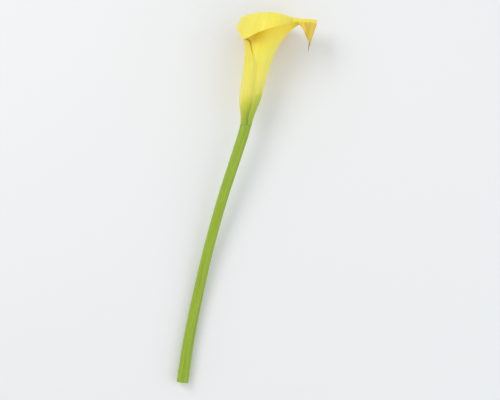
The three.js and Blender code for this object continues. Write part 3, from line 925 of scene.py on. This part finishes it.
# %% Stem finishes
def stem_material():
    """Satin green skin with lines and flecks along the stem."""
    material, tree, shader = new_material("stem_skin")
    around = add_node(tree, "ShaderNodeAttribute", attribute_name="around").outputs["Vector"]
    sides = add_node(tree, "ShaderNodeSeparateXYZ", {"Vector": around})
    place = add_node(tree, "ShaderNodeCombineXYZ", {
        "X": sides.outputs["X"], "Y": sides.outputs["Y"], "Z": attribute_number(tree, "along"),
    }).outputs["Vector"]
    lines = stretched_noise(tree, place, (1, 1, 0.5), 9.0, 3.0)
    flecks = stretched_noise(tree, place, (1, 1, 6), 5.0, 4.0)
    skin = ramp(tree, lines, [
        (0.30, colour(122, 152, 20)), (0.50, colour(142, 169, 25)), (0.70, colour(160, 183, 38)),
    ])
    fleck_share = to_range(tree, flecks, 0.5, 0.75, 0.0, 0.45)
    fill_inputs(tree, shader, {
        "Base Color": mix_colours(tree, fleck_share, skin, colour(174, 192, 62)),
        "Roughness": to_range(tree, flecks, 0.3, 0.7, 0.34, 0.5),
        "Normal": relief(tree, lines, 0.4, 0.12 * MM),
        "Subsurface Weight": 0.15,
        "Subsurface Radius": (0.6, 1.0, 0.2),
        "Subsurface Scale": 1.5 * MM,
        "Specular IOR Level": 0.45,
    })
    return material


def cut_material():
    """Wet pale flesh of the cut, with its vessels."""
    material, tree, shader = new_material("stem_cut")
    place = add_node(tree, "ShaderNodeTexCoord").outputs["Object"]
    cells = add_node(tree, "ShaderNodeTexVoronoi", {"Vector": place, "Scale": 1150.0})
    vessels = cells.outputs["Distance"]
    flesh = ramp(tree, vessels, [
        (0.10, colour(150, 170, 92)), (0.24, colour(205, 216, 150)), (0.60, colour(222, 228, 176)),
    ])
    fill_inputs(tree, shader, {
        "Base Color": flesh,
        "Roughness": to_range(tree, vessels, 0.1, 0.5, 0.25, 0.42),
        "Normal": relief(tree, vessels, 0.5, 0.15 * MM),
        "Subsurface Weight": 0.3,
        "Subsurface Radius": (0.8, 1.0, 0.5),
        "Subsurface Scale": 1.0 * MM,
    })
    return material


skin_material = stem_material()
print("stem finishes:", skin_material.name, "and its cut")

# %% [markdown]
# A tree does its work when the object is evaluated. Its inputs are set by their socket
# identifiers before that. Then the result is turned into a plain mesh and the modifier
# is dropped, so that what remains is ordinary geometry that any program can read.

# %% Grow the stem
def plain_mesh(source, tree, values):
    """What the tree makes of the source object, as a plain mesh."""
    modifier = source.modifiers.new("grow", "NODES")
    modifier.node_group = tree
    for item in tree.interface.items_tree:
        if item.in_out == "INPUT" and item.name in values:
            modifier[item.identifier] = values[item.name]
    evaluated = source.evaluated_get(bpy.context.evaluated_depsgraph_get())
    mesh = bpy.data.meshes.new_from_object(evaluated)
    bpy.data.objects.remove(source)
    return mesh


stem_source = new_object("stem_source", stem_curve)
stem_mesh = plain_mesh(stem_source, stem_tree(skin_material), {"Rings": 150})
for vertex in stem_mesh.vertices:
    vertex.co.z = max(vertex.co.z, 0)
stem_mesh.shade_smooth()
stem_mesh.materials.append(cut_material())
cut_place = to_frame(stem_points[-1])
for polygon in stem_mesh.polygons:
    # Only the two flat ends have more than four corners.
    if len(polygon.vertices) > 4:
        polygon.use_smooth = False
        if (polygon.center - cut_place).length < MM:
            polygon.material_index = 1
stem_mesh.name = "stem"
stem = new_object("stem_stalk", stem_mesh)
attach(stem, "root")
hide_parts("stem")
print("stem:", len(stem_mesh.polygons), "faces")

# %% [markdown]
# The spadix is the finger in the middle of the funnel. It is a core that is covered all
# over with tiny flowers: round green-yellow ovaries at its foot and, above them, golden
# ones that carry pollen. The core is turned from a radius curve, ring by ring, and bows
# with the funnel's axis.

# %% The spadix core
SPADIX_FOOT, SPADIX_TOP = 0.6, 30.6
OVARY_TOP = 10.0
CORE_SIDES, CORE_STEPS = 36, 60
core_radius = smooth_curve([
    (0.6, 1.7), (2.3, 1.75), (9.5, 1.95), (10.8, 1.85), (13, 2.15), (22, 2.15), (26.5, 1.9),
    (29.2, 1.3), (30.3, 0.6), (30.6, 0.05),
])


def core_mesh():
    """Closed finger with its core radius at every height."""
    shares = [math.sin(math.pi / 2 * k / CORE_STEPS) for k in range(CORE_STEPS + 1)]
    rings = [SPADIX_FOOT + (SPADIX_TOP - SPADIX_FOOT) * share for share in shares]
    points = []
    for height in rings:
        for i in range(CORE_SIDES):
            points.append(funnel_point(-i * 360 / CORE_SIDES, core_radius(height), height))
    faces = [tuple(range(CORE_SIDES))[::-1]]
    for k in range(len(rings) - 1):
        for i in range(CORE_SIDES):
            a = k * CORE_SIDES + i
            b = k * CORE_SIDES + (i + 1) % CORE_SIDES
            faces.append((a, b, b + CORE_SIDES, a + CORE_SIDES))
    last = (len(rings) - 1) * CORE_SIDES
    faces.append(tuple(range(last, last + CORE_SIDES)))
    mesh = bpy.data.meshes.new("spadix_core")
    mesh.from_pydata(points, [], faces)
    mesh.shade_smooth()
    return mesh


core = new_object("spadix_core", core_mesh())
print("spadix core:", len(core.data.polygons), "faces")

# %% [markdown]
# Florets sit on the core in a spiral: each is turned from the last by the golden angle,
# which packs them evenly. Their places are points of a mesh, each with its outward
# direction. Geometry Nodes puts a small many-sided bead on every point, turns it to face
# outwards and varies its size with a fixed seed.

# %% Geometry Nodes tree for the florets
GOLDEN_ANGLE = 137.508
PACKED_SHARE = 0.87
SLOPE_STEP = 0.05


def floret_places(name, low, high, spacing):
    """Points on the core in a golden-angle spiral, with their outward directions."""
    places, directions = [], []
    height, index = low, 0
    while height < high:
        angle = index * GOLDEN_ANGLE
        radius = core_radius(height)
        rise = core_radius(height + SLOPE_STEP) - core_radius(height - SLOPE_STEP)
        slope = rise / (2 * SLOPE_STEP)
        here = funnel_point(angle, radius, height)
        further = funnel_point(angle, radius + 1, height - slope)
        places.append(here)
        directions.append((further - here).normalized())
        ring_area = 2 * math.pi * radius * math.sqrt(1 + slope * slope)
        height += PACKED_SHARE * spacing**2 / ring_area
        index += 1
    mesh = bpy.data.meshes.new(name)
    mesh.from_pydata(places, [], [])
    stored = mesh.attributes.new("outward", "FLOAT_VECTOR", "POINT")
    stored.data.foreach_set("vector", [c for d in directions for c in d])
    return mesh


def floret_tree(name, material, segments, rings):
    """Tree that sets a bead on every place."""
    tree, given, result = new_tree(name, [
        ("Size", "NodeSocketFloat", 0.4 * MM),
        ("Flatness", "NodeSocketFloat", 0.8),
        ("Smallest", "NodeSocketFloat", 0.85),
        ("Largest", "NodeSocketFloat", 1.12),
        ("Seed", "NodeSocketInt", 3),
    ])
    bead = add_node(tree, "GeometryNodeMeshUVSphere", {
        "Segments": segments, "Rings": rings, "Radius": given.outputs["Size"],
    })
    stretch = add_node(tree, "ShaderNodeCombineXYZ", {0: 1.0, 1: 1.0, 2: given.outputs["Flatness"]})
    shaped = add_node(tree, "GeometryNodeTransform", {
        "Geometry": bead.outputs["Mesh"], "Scale": stretch.outputs["Vector"],
    })
    smooth = add_node(tree, "GeometryNodeSetShadeSmooth", {"Geometry": shaped.outputs["Geometry"]})
    stored = add_node(tree, "GeometryNodeInputNamedAttribute", {
        "Name": "outward",
    }, data_type="FLOAT_VECTOR")
    facing = add_node(tree, "FunctionNodeAlignRotationToVector", {
        "Vector": stored.outputs["Attribute"],
    }, axis="Z")
    size = add_node(tree, "FunctionNodeRandomValue", {
        2: given.outputs["Smallest"], 3: given.outputs["Largest"], "Seed": given.outputs["Seed"],
    }, data_type="FLOAT")
    placed = add_node(tree, "GeometryNodeInstanceOnPoints", {
        "Points": given.outputs["Geometry"], "Instance": smooth.outputs["Geometry"],
        "Rotation": facing.outputs["Rotation"], "Scale": size.outputs[1],
    })
    return end_tree(tree, result, placed.outputs["Instances"], material)


print("golden angle:", GOLDEN_ANGLE, "degrees")

# %% [markdown]
# Pollen makes the upper part of the finger powdery, so it has hardly any gloss and a
# grain that is finer than the florets. The ovaries are smoother and a little green.

# %% Spadix finishes
def spadix_material(name, dark, light, grain, roughness):
    """Grainy finish of one part of the spadix."""
    material, tree, shader = new_material(name)
    place = add_node(tree, "ShaderNodeTexCoord").outputs["Object"]
    powder = stretched_noise(tree, place, (1, 1, 1), grain, 4.0)
    fill_inputs(tree, shader, {
        "Base Color": ramp(tree, powder, [(0.32, colour(*dark)), (0.68, colour(*light))]),
        "Roughness": to_range(tree, powder, 0.3, 0.7, roughness - 0.08, roughness + 0.08),
        "Normal": relief(tree, powder, 0.6, 0.1 * MM),
        "Subsurface Weight": 0.1,
        "Subsurface Radius": (1.0, 0.7, 0.15),
        "Subsurface Scale": 0.8 * MM,
    })
    return material


pollen = spadix_material("pollen_gold", (224, 158, 30), (250, 206, 84), grain=5200, roughness=0.85)
ovary = spadix_material("ovary_green", (178, 176, 62), (218, 208, 104), grain=2600, roughness=0.5)
flesh = spadix_material("spadix_flesh", (196, 150, 40), (222, 184, 70), grain=1800, roughness=0.7)
core.data.materials.append(flesh)
print("spadix finishes:", pollen.name, ovary.name)

# %% [markdown]
# Both zones grow in the same way, with their own spacing, size and seed. The pollen
# florets are small and stand close together, the ovaries are larger and fewer.

# %% Grow the florets
OVARY_FOOT = 2.2
POLLEN_FOOT, POLLEN_TOP = OVARY_TOP + 0.7, SPADIX_TOP - 0.01


def grow_florets(name, places, tree, values):
    """One piece that holds all the florets of a zone."""
    mesh = plain_mesh(new_object(name + "_places", places), tree, values)
    mesh.name = name
    print(name, "has", len(mesh.polygons), "faces on", len(places.vertices), "places")
    return new_object(name, mesh)


male_florets = grow_florets(
    "pollen_florets",
    floret_places("pollen_places", POLLEN_FOOT, POLLEN_TOP, spacing=0.78),
    floret_tree("pollen_beads", pollen, segments=7, rings=5),
    {"Size": 0.43 * MM, "Flatness": 0.85, "Seed": 5},
)
female_florets = grow_florets(
    "ovary_florets",
    floret_places("ovary_places", OVARY_FOOT, OVARY_TOP, spacing=1.3),
    floret_tree("ovary_beads", ovary, segments=10, rings=7),
    {"Size": 0.7 * MM, "Flatness": 0.75, "Seed": 8},
)
for piece in (core, male_florets, female_florets):
    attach(piece, "root")
    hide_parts("spadix")
